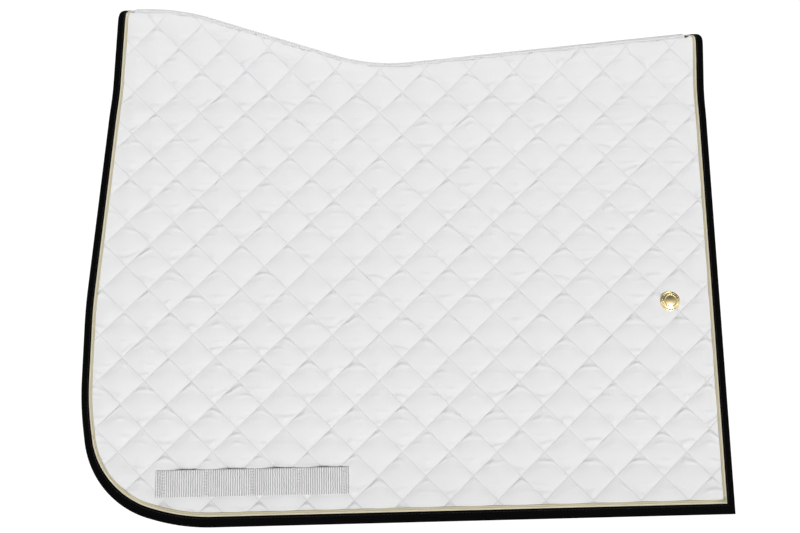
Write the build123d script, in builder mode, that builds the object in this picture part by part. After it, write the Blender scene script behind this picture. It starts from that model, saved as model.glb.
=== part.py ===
"""Quilted dressage saddle pad: two padded flaps that fold about a contoured spine seam.

+X runs to the rear, -Y to the near (left) side, +Z up. The origin is the underside of the
inner seam tape at the lowest point of the spine, where the pad rests on a horse's back.
Sizes are in millimetres. The left half is modelled and the right half is its mirror image.
"""
import os
from math import atan, cos, radians, sin, sqrt, tan

from build123d import *

os.makedirs("parts", exist_ok=True)

# Outline of one flap, measured from the spine's lowest point and down from the hinge line
front_reach = 294.2        # front edge ahead of the spine's lowest point
rear_reach = 323.9         # rear lower corner behind it
flap_drop = 424.0          # hem below the hinge line at the rear corner
hem_fall = 13.0            # how much lower the hem hangs at the front
front_lean = 0.072         # how fast the upper front edge runs forward on its way down
rear_lean = 0.0207         # the same for the rear edge
lean_end = 228.0           # below this the front edge hangs straight
corner_rise = 114.6        # where the round front corner starts, above the hem
corner_cut = (14.7, 23.6)  # its middle corner, in from the front edge and up from the hem
corner_run = 101.2         # where it ends, behind the front edge
edge_radii = (500, 300, 88, 190)  # arcs at the outline's four front corners
rear_radius = 4.0          # rear lower corner
overrun = 60.0             # how far the outline and spine are drawn past the edges they are cut to

# Spine line, seen from the side
front_slope = 0.298        # climb from the lowest point to the withers
rear_slope = 0.103         # climb from the lowest point to the rear
crest_height = 54.5        # top of the withers above the lowest point
spine_radius = 205.0       # arcs of the spine line

# Layers, from the horse outwards
seat_radius = 6.0          # underside of the inner seam tape
seam_tape = 0.6
lining = 0.8
wadding = 6.0
cover = 0.8
spine_tape = 0.9
tape_angle = 55.0          # how far each tape wraps down from the top, each side

# Fold at the spine
rest_lean = 12.0           # how far each flap stands out from vertical at rest
skirt_end = 10.0           # where the crown's sides end, below the origin
fold_gap = 0.5             # clearance of the folding flap under the crown
fold_round = 0.49          # radius of the wadding's upper edges, as a share of its thickness
trim_setback = 8.0         # flap binding and piping start this far below the hinge line

# Trim
binding_cloth = 0.7
binding_leg = 7.5          # how far the binding covers each face
cord = 1.7                 # each of the two piping cords

# Girth keeper strap
strap_width = 25.0
strap_cloth = 1.2
strap_start = (-215.6, 397.5)  # first row of tacks, behind the origin and below the hinge line
strap_rise = 1.2           # degrees that the strap climbs to the rear
loop_pitch = 43.5
loop_count = 4
loop_bulge = 9.0           # outside of a loop above the cover
tack_width = 5.0
tack_row = 2.5
tack_length = 23.0
tack_thread = 0.5

# Badge
badge_place = (271.7, 222.5)  # behind the origin and below the hinge line
badge_radius = 9.0
badge_height = 3.4
badge_shell = 0.6
rim_thickness = 0.8
rim_overhang = 0.5
rim_round = 0.25
post_radius = 1.5
washer_radius = 5.0
washer_thickness = 0.8

# Derived places
front_drop = flap_drop + hem_fall
lining_radius = seat_radius + seam_tape
wadding_radius = lining_radius + lining
cover_radius = wadding_radius + wadding
outer_radius = cover_radius + cover
slab = lining + wadding + cover
hinge_y = (lining_radius + outer_radius) / 2
hinge_z = -skirt_end - fold_gap - slab / 2
pad_span = front_reach + rear_reach + front_drop
lean = radians(rest_lean)
flap_plane = Plane(
    origin=(0, -hinge_y, hinge_z), x_dir=(1, 0, 0), z_dir=(0, -cos(lean), sin(lean))
)


def front_x(drop):
    """Front edge's place at a distance below the hinge line, above lean_end."""
    return -front_reach + front_lean * (lean_end - drop)


def rear_x(drop):
    """Rear edge's place at a distance below the hinge line."""
    return rear_reach - rear_lean * (flap_drop - drop)


def flap_sheet(inset, top):
    """Flap outline moved in by inset and cut level at a distance below the hinge line."""
    with BuildSketch() as sheet:
        with BuildLine():
            edge = FilletPolyline(
                (front_x(-overrun), overrun),
                (-front_reach, -lean_end),
                (-front_reach, corner_rise - front_drop),
                (corner_cut[0] - front_reach, corner_cut[1] - front_drop),
                (corner_run - front_reach, -front_drop),
                (rear_reach, -flap_drop),
                (rear_x(-overrun), overrun),
                radius=(*edge_radii, rear_radius),
            )
            Line(edge @ 1, edge @ 0)
        make_face()
        offset(amount=-inset, kind=Kind.INTERSECTION)
        with Locations((0, -top)):
            Rectangle(2 * pad_span, 2 * pad_span, align=(Align.CENTER, Align.MAX), mode=Mode.INTERSECT)
    return sheet.sketch


def flap_layer(inner, thickness, top, holes=()):
    """A sheet of the left flap that starts at a height above the flap's middle plane."""
    with BuildPart() as layer:
        with BuildSketch(flap_plane.offset(inner)):
            add(flap_sheet(binding_cloth, top))
            if holes:
                with Locations(*holes):
                    Circle(post_radius, mode=Mode.SUBTRACT)
        extrude(amount=thickness)
        if top < 0:
            upper = layer.faces().sort_by(Axis.Z)[-1]
            fillet(upper.edges().filter_by(Axis.X), radius=fold_round * thickness)
    return layer.part


def flap_band(outer_inset, inner_inset, low, high):
    """A band round the left flap's free edges, between two insets and two heights."""
    with BuildPart() as band:
        with BuildSketch(flap_plane.offset(low)):
            add(flap_sheet(outer_inset, trim_setback))
            add(flap_sheet(inner_inset, trim_setback), mode=Mode.SUBTRACT)
        extrude(amount=high - low)
    return band.part


def crown_shell(inner, outer, inset, wrap=None):
    """A layer of the crown between two arch radii, cut to the side outline moved in by inset."""
    turn = atan(front_slope) + atan(rear_slope)
    tangent = spine_radius * tan(turn / 2)
    dip_x = spine_radius * sin(atan(rear_slope)) - tangent * cos(atan(rear_slope))
    dip_z = spine_radius * (1 - cos(atan(rear_slope))) - tangent * sin(atan(rear_slope))
    crest_x = dip_x - (crest_height - dip_z) / front_slope
    top = crest_height + 2 * outer_radius
    with BuildPart() as shell:
        with BuildLine(Plane.XZ):
            spine = FilletPolyline(
                (-front_reach - overrun, crest_height),
                (crest_x, crest_height),
                (dip_x, dip_z),
                (rear_reach + overrun, dip_z + rear_slope * (rear_reach + overrun - dip_x)),
                radius=spine_radius,
            )
        section = Plane(origin=spine @ 0, x_dir=(0, 1, 0), z_dir=spine % 0)
        legs = (Align.CENTER, Align.MAX)
        with BuildSketch(section):
            with Locations((0, -seat_radius)):
                Circle(outer)
                Rectangle(2 * outer, crest_height + 2 * outer, align=legs)
                Circle(inner, mode=Mode.SUBTRACT)
                Rectangle(2 * inner, crest_height + 3 * outer, align=legs, mode=Mode.SUBTRACT)
            if wrap:
                across = 2 * outer * sin(radians(wrap))
                up = 2 * outer * cos(radians(wrap)) - seat_radius
                with BuildLine():
                    Polyline((0, -seat_radius), (-across, up), (0, 3 * outer), (across, up), close=True)
                make_face(mode=Mode.INTERSECT)
        sweep(path=spine)
        with BuildSketch(Plane.XZ):
            with BuildLine():
                Polyline(
                    (front_x(hinge_z + skirt_end) + inset, -skirt_end),
                    (front_x(hinge_z - top) + inset, top),
                    (rear_x(hinge_z - top) - inset, top),
                    (rear_x(hinge_z + skirt_end) - inset, -skirt_end),
                    close=True,
                )
            make_face()
        extrude(amount=2 * outer, both=True, mode=Mode.INTERSECT)
    return shell.part


def save(part, name):
    """Label a finished piece and write it to its own file."""
    part.label = name
    export_step(part, f"parts/{name}.step")


def save_twin(part, name):
    """Write the mirror image of a piece of the left half."""
    with BuildPart() as twin:
        mirror(part, about=Plane.XZ)
    save(twin.part, f"right_{name}")


def save_both(part, name):
    """Write a piece of the left half and its mirror image in the right half."""
    save(part, f"left_{name}")
    save_twin(part, name)


def save_halves(shell, name):
    """Write the left half of a crown layer, which ends at the spine seam, and its mirror image."""
    with BuildPart() as half:
        add(shell)
        split(bisect_by=Plane.XZ, keep=Keep.TOP)
    save_both(half.part, name)


# Crown: the two halves' layers meet at the spine seam
save_halves(crown_shell(cover_radius, outer_radius, binding_cloth), "crown_cover")
save_halves(crown_shell(wadding_radius, cover_radius, binding_cloth), "crown_wadding")
save_halves(crown_shell(lining_radius, wadding_radius, binding_cloth), "crown_lining")

# Tapes over and under the spine seam, between the bindings
outer_tape = crown_shell(outer_radius, outer_radius + spine_tape, binding_leg, tape_angle)
save(outer_tape, "spine_tape")
inner_tape = crown_shell(seat_radius, lining_radius, binding_leg, tape_angle)
save(inner_tape, "inner_seam_tape")

# Binding and piping over the ends of the spine
with BuildPart() as crown_binding:
    add(crown_shell(lining_radius - binding_cloth, outer_radius + binding_cloth, 0))
    between_ends = crown_shell(seat_radius - binding_cloth, outer_radius + spine_tape, binding_leg)
    add(between_ends, mode=Mode.SUBTRACT)
    add(crown_shell(lining_radius, outer_radius, binding_cloth), mode=Mode.SUBTRACT)
for end, piece in zip(("front", "rear"), crown_binding.solids().sort_by(Axis.X)):
    save(piece, f"{end}_crown_binding")

for colour, inset in (("cream", binding_leg), ("beige", binding_leg + cord)):
    with BuildPart() as crown_cord:
        add(crown_shell(outer_radius, outer_radius + cord, inset))
        add(crown_shell(outer_radius, outer_radius + cord, inset + cord), mode=Mode.SUBTRACT)
        # the spine tape's ends lie under the piping
        add(outer_tape, mode=Mode.SUBTRACT)
    for end, piece in zip(("front", "rear"), crown_cord.solids().sort_by(Axis.X)):
        save(piece, f"{end}_crown_{colour}_piping")

# Flaps: only the near one is pierced for the badge
badge_hole = (badge_place[0], -badge_place[1])
for name, inner, thickness, top in (
    ("cover", wadding / 2, cover, 0),
    ("wadding", -wadding / 2, wadding, -wadding / 2),
    ("lining", -wadding / 2 - lining, lining, 0),
):
    save(flap_layer(inner, thickness, top, [badge_hole]), f"left_{name}")
    save_twin(flap_layer(inner, thickness, top), name)

# The binding folds round the edge, with one leg on each face
with BuildPart() as flap_binding:
    add(flap_band(0, binding_leg, -slab / 2 - binding_cloth, slab / 2 + binding_cloth))
    add(flap_layer(-slab / 2, slab, trim_setback / 2), mode=Mode.SUBTRACT)
save_both(flap_binding.part, "binding")
save_both(flap_band(binding_leg, binding_leg + cord, slab / 2, slab / 2 + cord), "cream_piping")
save_both(
    flap_band(binding_leg + cord, binding_leg + 2 * cord, slab / 2, slab / 2 + cord),
    "beige_piping",
)

# Girth keeper strap: sewn flat at each row of tacks, and standing off as a loop between rows
cover_face = flap_plane.offset(slab / 2)
strap_turn = Location((strap_start[0], -strap_start[1], 0), (0, 0, strap_rise))
strap_face = Plane(cover_face * strap_turn)
strap_section = Plane(strap_face.origin, x_dir=strap_face.x_dir, z_dir=-strap_face.y_dir)
half_chord = (loop_pitch - tack_width) / 2
loop_radius = (half_chord**2 + loop_bulge**2) / (2 * loop_bulge)
inner_chord = sqrt((loop_radius - strap_cloth) ** 2 - (loop_radius - loop_bulge) ** 2)
sewn_length = loop_pitch - 2 * inner_chord
tack_places = [number * loop_pitch for number in range(loop_count + 1)]

with BuildSketch() as loop_ring:
    with Locations((0, loop_bulge - loop_radius)):
        Circle(loop_radius)
        Circle(loop_radius - strap_cloth, mode=Mode.SUBTRACT)
    Rectangle(
        2 * half_chord, loop_bulge, align=(Align.CENTER, Align.MIN), mode=Mode.INTERSECT
    )

with BuildPart() as girth_strap:
    with BuildSketch(strap_section):
        with Locations([(place + loop_pitch / 2, 0) for place in tack_places[:-1]]):
            add(loop_ring.sketch)
        with Locations([(place, 0) for place in tack_places]):
            Rectangle(sewn_length, strap_cloth, align=(Align.CENTER, Align.MIN))
    extrude(amount=strap_width / 2, both=True)
save_both(girth_strap.part, "girth_strap")

with BuildPart() as strap_tacks:
    with BuildSketch(strap_face.offset(strap_cloth)):
        with Locations([(place, 0) for place in tack_places]):
            Rectangle(tack_row, tack_length)
    extrude(amount=tack_thread)
save_both(strap_tacks.part, "strap_tacks")

# Badge on the near flap: a domed cap on a rim ring, held by a post and a washer on the lining
badge_axis = Location((badge_place[0], -badge_place[1], 0))
rim_face = Plane(cover_face * badge_axis)
cap_face = rim_face.offset(rim_thickness)
washer_face = rim_face.offset(-slab - washer_thickness)
dome_height = badge_height - rim_thickness
dome_radius = (badge_radius**2 + dome_height**2) / (2 * dome_height)

with BuildPart() as badge_rim:
    with BuildSketch(rim_face):
        Circle(badge_radius + rim_overhang)
        Circle(post_radius, mode=Mode.SUBTRACT)
    extrude(amount=rim_thickness)
    fillet(badge_rim.edges().filter_by(GeomType.CIRCLE).sort_by(SortBy.RADIUS)[-2:], rim_round)
save(badge_rim.part, "badge_rim")

with BuildPart() as badge_cap:
    with BuildSketch(Plane(cap_face.origin, x_dir=cap_face.x_dir, z_dir=-cap_face.y_dir)):
        with Locations((0, dome_height - dome_radius)):
            Circle(dome_radius)
            Circle(dome_radius - badge_shell, mode=Mode.SUBTRACT)
        Rectangle(badge_radius, badge_height, align=(Align.MIN, Align.MIN), mode=Mode.INTERSECT)
    revolve(axis=Axis(cap_face.origin, cap_face.z_dir))
save(badge_cap.part, "badge_cap")

with BuildPart() as badge_post:
    with BuildSketch(washer_face):
        Circle(post_radius)
    extrude(amount=washer_thickness + slab + rim_thickness)
save(badge_post.part, "badge_post")

with BuildPart() as badge_washer:
    with BuildSketch(washer_face):
        Circle(washer_radius)
        Circle(post_radius, mode=Mode.SUBTRACT)
    extrude(amount=washer_thickness)
save(badge_washer.part, "badge_washer")
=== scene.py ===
"""Looks of a quilted dressage saddle pad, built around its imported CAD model.

Lengths are in metres. +X is the rear, -Y the near (left) side and +Z up, as in the model.
A flap is drawn first as a flat pattern: x runs to the rear, and s runs down the cloth from the
fold line, so that s is negative on the crown. PadForm.place bends the pattern into its shape.
"""
import logging
import math
from dataclasses import dataclass, field
from enum import Enum
from typing import Callable

import bpy
import numpy as np
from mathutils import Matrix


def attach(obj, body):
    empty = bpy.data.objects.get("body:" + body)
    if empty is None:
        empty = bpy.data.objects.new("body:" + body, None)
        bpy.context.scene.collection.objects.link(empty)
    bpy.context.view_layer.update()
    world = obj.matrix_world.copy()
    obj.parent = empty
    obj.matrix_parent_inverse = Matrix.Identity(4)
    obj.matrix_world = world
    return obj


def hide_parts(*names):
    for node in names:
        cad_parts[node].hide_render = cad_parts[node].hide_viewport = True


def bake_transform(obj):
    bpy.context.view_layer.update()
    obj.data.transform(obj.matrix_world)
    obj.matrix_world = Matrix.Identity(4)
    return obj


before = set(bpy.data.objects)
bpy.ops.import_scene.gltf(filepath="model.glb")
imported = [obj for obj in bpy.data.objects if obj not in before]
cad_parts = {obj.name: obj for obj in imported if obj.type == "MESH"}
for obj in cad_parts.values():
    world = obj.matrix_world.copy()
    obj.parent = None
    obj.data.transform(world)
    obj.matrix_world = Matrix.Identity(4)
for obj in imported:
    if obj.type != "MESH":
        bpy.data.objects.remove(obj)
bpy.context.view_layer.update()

LOG = logging.getLogger("saddle_pad")
PATTERN_UV = "Pattern"
CROWN = "crown"
STITCH_GAP = 0.03175  # between two quilting lines
CROSSING = (0.0123, 0.1876)  # pattern place of one crossing of quilting lines
CLOTH_SETTINGS = {
    "quality": 6,
    "mass": 0.3,
    "tension_stiffness": 25,
    "compression_stiffness": 25,
    "shear_stiffness": 8,
    "bending_stiffness": 0.12,
    "tension_damping": 8,
    "compression_damping": 8,
    "air_damping": 1.0,
}


class Side(Enum):
    """The two halves of the pad, with the sign of their y coordinates."""

    LEFT = -1
    RIGHT = 1

    @property
    def prefix(self) -> str:
        """Start of this half's piece and node names."""
        return self.name.lower()

    @property
    def body(self) -> str:
        """Name of this half's moving body."""
        return f"{self.prefix}_flap"


class End(Enum):
    """The two ends of the spine."""

    FRONT = "front"
    REAR = "rear"


# ---------------------------------------------------------------- arithmetic helpers


def smoothstep(t: np.ndarray) -> np.ndarray:
    """Ease from 0 to 1 with level ends.

    Args:
        t: Values, of which the part from 0 to 1 is the slope.

    Returns:
        The eased values.
    """
    t = np.clip(t, 0.0, 1.0)
    return t * t * (3.0 - 2.0 * t)


def ramp(values: np.ndarray, start: float, width: float) -> np.ndarray:
    """Ease from 0 at a start to 1 at a width past it."""
    return smoothstep((values - start) / width)


def rounded_path(corners: list, radii: list, step: float) -> np.ndarray:
    """Points along a polyline whose corners are rounded by arcs.

    Args:
        corners: The polyline's points, (x, s) each.
        radii: One radius for each inner corner; 0 leaves it sharp.
        step: Greatest distance between two points.

    Returns:
        The points, one row each.
    """
    corners = [np.array(c, float) for c in corners]
    spans = [corners[0]]
    for before, corner, after, radius in zip(corners, corners[1:], corners[2:], radii):
        a = (before - corner) / np.linalg.norm(before - corner)
        b = (after - corner) / np.linalg.norm(after - corner)
        if radius == 0:
            spans.append(corner)
            continue
        half = 0.5 * math.acos(float(np.clip(a @ b, -1, 1)))
        centre = corner + (a + b) / np.linalg.norm(a + b) * radius / math.sin(half)
        start, end = (corner + d * radius / math.tan(half) - centre for d in (a, b))
        turn = math.pi - 2 * half
        sweep = math.copysign(turn, start[0] * end[1] - start[1] * end[0])
        count = max(2, math.ceil(abs(sweep) * radius / step))
        for angle in np.linspace(0, sweep, count + 1):
            c, s = math.cos(angle), math.sin(angle)
            turned = (c * start[0] - s * start[1], s * start[0] + c * start[1])
            spans.append(centre + np.array(turned))
    spans.append(corners[-1])
    points = [spans[0]]
    for a, b in zip(spans, spans[1:]):
        count = max(1, math.ceil(np.linalg.norm(b - a) / step))
        points += [a + (b - a) * k / count for k in range(1, count + 1)]
    return np.array(points)


def inward_offsets(points: np.ndarray, widths: np.ndarray, ridges: tuple) -> np.ndarray:
    """Move a path sideways into the cloth, with mitred corners.

    Args:
        points: The path, (x, s) rows, with the cloth on the side that (ts, -tx) points to.
        widths: How far each run moves, one for each pair of neighbouring points.
        ridges: Direction of the fold that the path mirrors itself about, at each of its ends.

    Returns:
        The moved points.
    """
    runs = np.diff(points, axis=0)
    runs /= np.linalg.norm(runs, axis=1)[:, None]
    ghosts = []
    for run, ridge in ((runs[0], ridges[0]), (runs[-1], ridges[1])):
        along = np.array(ridge, float) / np.linalg.norm(ridge)
        ghosts.append(2 * (run @ along) * along - run)
    before = np.vstack([-ghosts[0], runs])
    after = np.vstack([runs, -ghosts[1]])
    width_a = np.append(widths[:1], widths)
    width_b = np.append(widths, widths[-1:])
    # a run (tx, ts) has its inward side at (ts, -tx); the moved point lies on both moved runs
    cross = before[:, 0] * after[:, 1] - before[:, 1] * after[:, 0]
    straight = np.abs(cross) < 1e-3
    cross = np.where(straight, 1.0, cross)
    mitre = (width_b[:, None] * before - width_a[:, None] * after) / cross[:, None]
    plain = np.stack([after[:, 1], -after[:, 0]], axis=1) * (0.5 * (width_a + width_b))[:, None]
    return points + np.where(straight[:, None], plain, mitre)


def distance_inside(points: np.ndarray, loop: np.ndarray) -> np.ndarray:
    """Distance of points from a closed outline, positive inside it.

    Args:
        points: (x, s) rows.
        loop: The outline's points, in order, without a repeated end.

    Returns:
        One distance for each point.
    """
    a, b = loop, np.roll(loop, -1, axis=0)
    run = b - a
    length_2 = np.maximum(np.sum(run * run, axis=1), 1e-18)
    distances = np.empty(len(points))
    for start in range(0, len(points), 4000):
        p = points[start:start + 4000, None, :]
        t = np.clip(np.sum((p - a) * run, axis=2) / length_2, 0, 1)
        gap = np.linalg.norm(p - a - t[..., None] * run, axis=2).min(axis=1)
        crosses = (a[:, 1] > p[..., 1]) != (b[:, 1] > p[..., 1])
        rise = np.where(run[:, 1] == 0, 1e-12, run[:, 1])
        at_x = a[:, 0] + (p[..., 1] - a[:, 1]) * run[:, 0] / rise
        inside = np.sum(crosses & (p[..., 0] < at_x), axis=1) % 2 == 1
        distances[start:start + 4000] = np.where(inside, gap, -gap)
    return distances


# ---------------------------------------------------------------- mesh helpers


def make_object(name: str, points: np.ndarray, faces: list) -> bpy.types.Object:
    """A smooth-shaded mesh object at the origin.

    Args:
        name: Name of the object and its mesh.
        points: Vertex places, one row each.
        faces: Vertex numbers of each face.

    Returns:
        The object, linked to the scene.
    """
    mesh = bpy.data.meshes.new(name)
    mesh.from_pydata(np.asarray(points, float).tolist(), [], [tuple(map(int, f)) for f in faces])
    mesh.update()
    mesh.polygons.foreach_set("use_smooth", [True] * len(mesh.polygons))
    thing = bpy.data.objects.new(name, mesh)
    bpy.context.scene.collection.objects.link(thing)
    return thing


def signed_volume(points: np.ndarray, quads: np.ndarray) -> float:
    """Volume inside closed quads, negative if they face inwards.

    Args:
        points: Vertex places.
        quads: Four vertex numbers a row.

    Returns:
        The volume.
    """
    a, b, c, d = (points[quads[:, k]] for k in range(4))
    return float(np.sum(a * np.cross(b, c)) + np.sum(a * np.cross(c, d))) / 6.0


def outward(points: np.ndarray, quads: np.ndarray) -> np.ndarray:
    """The same quads, all turned to face outwards.

    Args:
        points: Vertex places.
        quads: Four vertex numbers a row, of one closed shell that is already consistent.

    Returns:
        The quads, reversed if they faced inwards.
    """
    return quads[:, ::-1] if signed_volume(points, quads) < 0 else quads


def sweep_sections(sections: np.ndarray) -> tuple:
    """Closed shell through a row of closed sections, with a quad fan over each end.

    Args:
        sections: Array of station, corner, and x, y, z. Each section has an even corner count.

    Returns:
        Vertex places, and quads that face outwards.
    """
    stations, corners, _ = sections.shape
    points = sections.reshape(-1, 3)
    quads = []
    ring = np.arange(corners)
    following = (ring + 1) % corners
    for k in range(stations - 1):
        a, b = k * corners, (k + 1) * corners
        quads.append(np.stack([a + ring, a + following, b + following, b + ring], axis=1))
    half = corners // 2
    for base, flip in ((0, True), ((stations - 1) * corners, False)):
        cap = [
            (base + k, base + k + 1, base + corners - 2 - k, base + corners - 1 - k)
            for k in range(half - 1)
        ]
        cap = np.array(cap)
        quads.append(cap[:, ::-1] if flip else cap)
    quads = np.vstack(quads)
    return points, outward(points, quads)


def set_pattern_uv(thing: bpy.types.Object, uv: np.ndarray) -> None:
    """Give a mesh its pattern map, which its cloth materials read.

    Args:
        thing: The mesh object.
        uv: One (u, v) row for each vertex, in metres on the cloth.
    """
    mesh = thing.data
    layer = mesh.uv_layers.new(name=PATTERN_UV)
    corners = np.empty(len(mesh.loops), dtype=np.int32)
    mesh.loops.foreach_get("vertex_index", corners)
    layer.data.foreach_set("uv", np.asarray(uv, float)[corners].ravel())


def plain_copy(thing: bpy.types.Object) -> bpy.types.Object:
    """Replace an object's modifiers by their result.

    Args:
        thing: A mesh object with modifiers.

    Returns:
        The same object, with the finished mesh and no modifier.
    """
    bpy.context.view_layer.update()
    graph = bpy.context.evaluated_depsgraph_get()
    mesh = bpy.data.meshes.new_from_object(thing.evaluated_get(graph), depsgraph=graph)
    mesh.name = thing.name
    thing.modifiers.clear()
    thing.data = mesh
    return thing


# ---------------------------------------------------------------- node helpers


class NodeSheet:
    """Short way to add and join nodes in one node tree."""

    def __init__(self, tree: bpy.types.NodeTree) -> None:
        """Work on a tree, which starts empty.

        Args:
            tree: A shader, world or geometry node tree.
        """
        self.tree = tree
        tree.nodes.clear()

    def add(self, kind: str, inputs: dict = None, **settings) -> bpy.types.Node:
        """Add a node.

        Args:
            kind: The node's type.
            inputs: Socket name or number to a value, or to the output socket that feeds it.
            settings: Properties of the node itself.

        Returns:
            The node.
        """
        node = self.tree.nodes.new(kind)
        for name, value in settings.items():
            setattr(node, name, value)
        for name, value in (inputs or {}).items():
            if isinstance(value, bpy.types.NodeSocket):
                self.tree.links.new(value, node.inputs[name])
            else:
                node.inputs[name].default_value = value
        return node

    def math(self, operation: str, *values, clamp: bool = False) -> bpy.types.NodeSocket:
        """Add a math node.

        Args:
            operation: Blender's name of the operation.
            values: Its operands, each a number or an output socket.
            clamp: Keep the result between 0 and 1.

        Returns:
            The result's socket.
        """
        node = self.add("ShaderNodeMath", dict(enumerate(values)), operation=operation)
        node.use_clamp = clamp
        return node.outputs[0]

    def mix(self, factor: object, first: object, second: object) -> bpy.types.NodeSocket:
        """Mix two colours.

        Args:
            factor: Share of the second, a number or a socket.
            first: Colour, or the socket of one.
            second: Colour, or the socket of one.

        Returns:
            The mixed colour's socket.
        """
        node = self.add("ShaderNodeMix", {0: factor, 6: first, 7: second}, data_type="RGBA")
        return node.outputs[2]


def new_group(name: str, kind: str, inputs: dict, outputs: dict) -> tuple:
    """Start a node group.

    Args:
        name: The group's name.
        kind: Type of its tree.
        inputs: Input name to (socket type, default value or None).
        outputs: Output name to socket type.

    Returns:
        The group, its sheet, and its input and output nodes.
    """
    tree = bpy.data.node_groups.new(name, kind)
    for label, (socket, value) in inputs.items():
        made = tree.interface.new_socket(label, in_out="INPUT", socket_type=socket)
        if value is not None:
            made.default_value = value
    for label, socket in outputs.items():
        tree.interface.new_socket(label, in_out="OUTPUT", socket_type=socket)
    sheet = NodeSheet(tree)
    return tree, sheet, sheet.add("NodeGroupInput"), sheet.add("NodeGroupOutput")


# ---------------------------------------------------------------- finishes


def thread_lines_group() -> bpy.types.NodeTree:
    """Group that draws raised parallel threads, or two crossed sets of them.

    Returns:
        The group, with a Height from 0 in the gaps to 1 on the threads.
    """
    tree, sheet, given, result = new_group(
        "Thread lines",
        "ShaderNodeTree",
        {
            "Vector": ("NodeSocketVector", None),
            "Pitch": ("NodeSocketFloat", 0.001),
            "Angle": ("NodeSocketFloat", 0.5),
            "Crossed": ("NodeSocketFloat", 0.0),
            "Unevenness": ("NodeSocketFloat", 0.3),
        },
        {"Height": "NodeSocketFloat"},
    )
    wander = sheet.add(
        "ShaderNodeTexNoise", {"Vector": given.outputs["Vector"], "Scale": 260.0, "Detail": 2.0}
    )
    spread = sheet.math("SUBTRACT", wander.outputs["Fac"], 0.5)
    spread = sheet.math("MULTIPLY", spread, given.outputs["Unevenness"])
    heights = []
    for quarter in (0.0, math.pi / 2):
        angle = sheet.math("ADD", given.outputs["Angle"], quarter)
        turned = sheet.add(
            "ShaderNodeVectorRotate",
            {"Vector": given.outputs["Vector"], "Angle": angle},
            rotation_type="Z_AXIS",
        )
        split = sheet.add("ShaderNodeSeparateXYZ", {0: turned.outputs[0]})
        turns = sheet.math("DIVIDE", split.outputs[1], given.outputs["Pitch"])
        turns = sheet.math("ADD", turns, spread)
        wave = sheet.math("SINE", sheet.math("MULTIPLY", turns, 2 * math.pi))
        heights.append(sheet.math("MULTIPLY_ADD", wave, 0.5, 0.5))
    across = sheet.math("MULTIPLY", heights[1], given.outputs["Crossed"])
    height = sheet.math("MAXIMUM", heights[0], across)
    sheet.tree.links.new(height, result.inputs["Height"])
    return tree


def quilt_crease_group() -> bpy.types.NodeTree:
    """Group that draws the fine creases of quilting: the stitch lines and the curved puckers.

    Returns:
        The group, with a Height in metres and a Seam mask that is 1 on the stitch lines.
    """
    tree, sheet, given, result = new_group(
        "Quilting creases",
        "ShaderNodeTree",
        {
            "Vector": ("NodeSocketVector", None),
            "Crossing": ("NodeSocketVector", None),
            "Gap": ("NodeSocketFloat", 0.03175),
            "Seam depth": ("NodeSocketFloat", 0.0006),
            "Pucker depth": ("NodeSocketFloat", 0.0004),
        },
        {"Height": "NodeSocketFloat", "Seam": "NodeSocketFloat"},
    )
    moved = sheet.add(
        "ShaderNodeVectorMath",
        {0: given.outputs["Vector"], 1: given.outputs["Crossing"]},
        operation="SUBTRACT",
    )
    split = sheet.add("ShaderNodeSeparateXYZ", {0: moved.outputs[0]})
    scale = sheet.math("MULTIPLY", given.outputs["Gap"], math.sqrt(2))
    local = []
    for operation in ("ADD", "SUBTRACT"):
        count = sheet.math(operation, split.outputs[0], split.outputs[1])
        count = sheet.math("DIVIDE", count, scale)
        local.append(sheet.math("SUBTRACT", sheet.math("FRACT", count), 0.5))
    to_seam = [sheet.math("SUBTRACT", 0.5, sheet.math("ABSOLUTE", v)) for v in local]
    nearest = sheet.math("MULTIPLY", sheet.math("MINIMUM", *to_seam), given.outputs["Gap"])
    seam = sheet.add(
        "ShaderNodeMapRange",
        {"Value": nearest, "From Min": 0.0, "From Max": 0.0010, "To Min": 1.0, "To Max": 0.0},
        interpolation_type="SMOOTHSTEP",
    ).outputs[0]
    across = sheet.math("ADD", *local)
    down = sheet.math("SUBTRACT", *local)
    wander = sheet.add(
        "ShaderNodeTexNoise", {"Vector": given.outputs["Vector"], "Scale": 34.0, "Detail": 1.0}
    )
    away = sheet.math("ABSOLUTE", down)
    bowed = sheet.math("MULTIPLY_ADD", sheet.math("POWER", across, 2.0), 0.35, away)
    bowed = sheet.math("MULTIPLY_ADD", wander.outputs["Fac"], 0.9, bowed)
    wave = sheet.math("SINE", sheet.math("MULTIPLY", bowed, 2 * math.pi * 1.9))
    fold = sheet.math("POWER", sheet.math("MULTIPLY_ADD", wave, 0.5, 0.5), 2.0)
    lower = sheet.add(
        "ShaderNodeMapRange",
        {"Value": away, "From Min": 0.22, "From Max": 0.45, "To Min": 0.0, "To Max": 1.0},
        interpolation_type="SMOOTHSTEP",
    ).outputs[0]
    fade = sheet.math("MINIMUM", sheet.math("MULTIPLY", nearest, 400.0), 1.0)
    chance = sheet.add(
        "ShaderNodeTexNoise", {"Vector": given.outputs["Vector"], "Scale": 47.0, "Detail": 2.0}
    )
    chance = sheet.add(
        "ShaderNodeMapRange",
        {"Value": chance.outputs["Fac"], "From Min": 0.36, "From Max": 0.56},
        interpolation_type="SMOOTHSTEP",
    ).outputs[0]
    pucker = sheet.math("MULTIPLY", sheet.math("MULTIPLY", fold, lower), fade)
    pucker = sheet.math("MULTIPLY", pucker, chance)
    pucker = sheet.math("MULTIPLY", pucker, given.outputs["Pucker depth"])
    groove = sheet.math("MULTIPLY", seam, given.outputs["Seam depth"])
    sheet.tree.links.new(sheet.math("SUBTRACT", pucker, groove), result.inputs["Height"])
    sheet.tree.links.new(seam, result.inputs["Seam"])
    return tree


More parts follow.
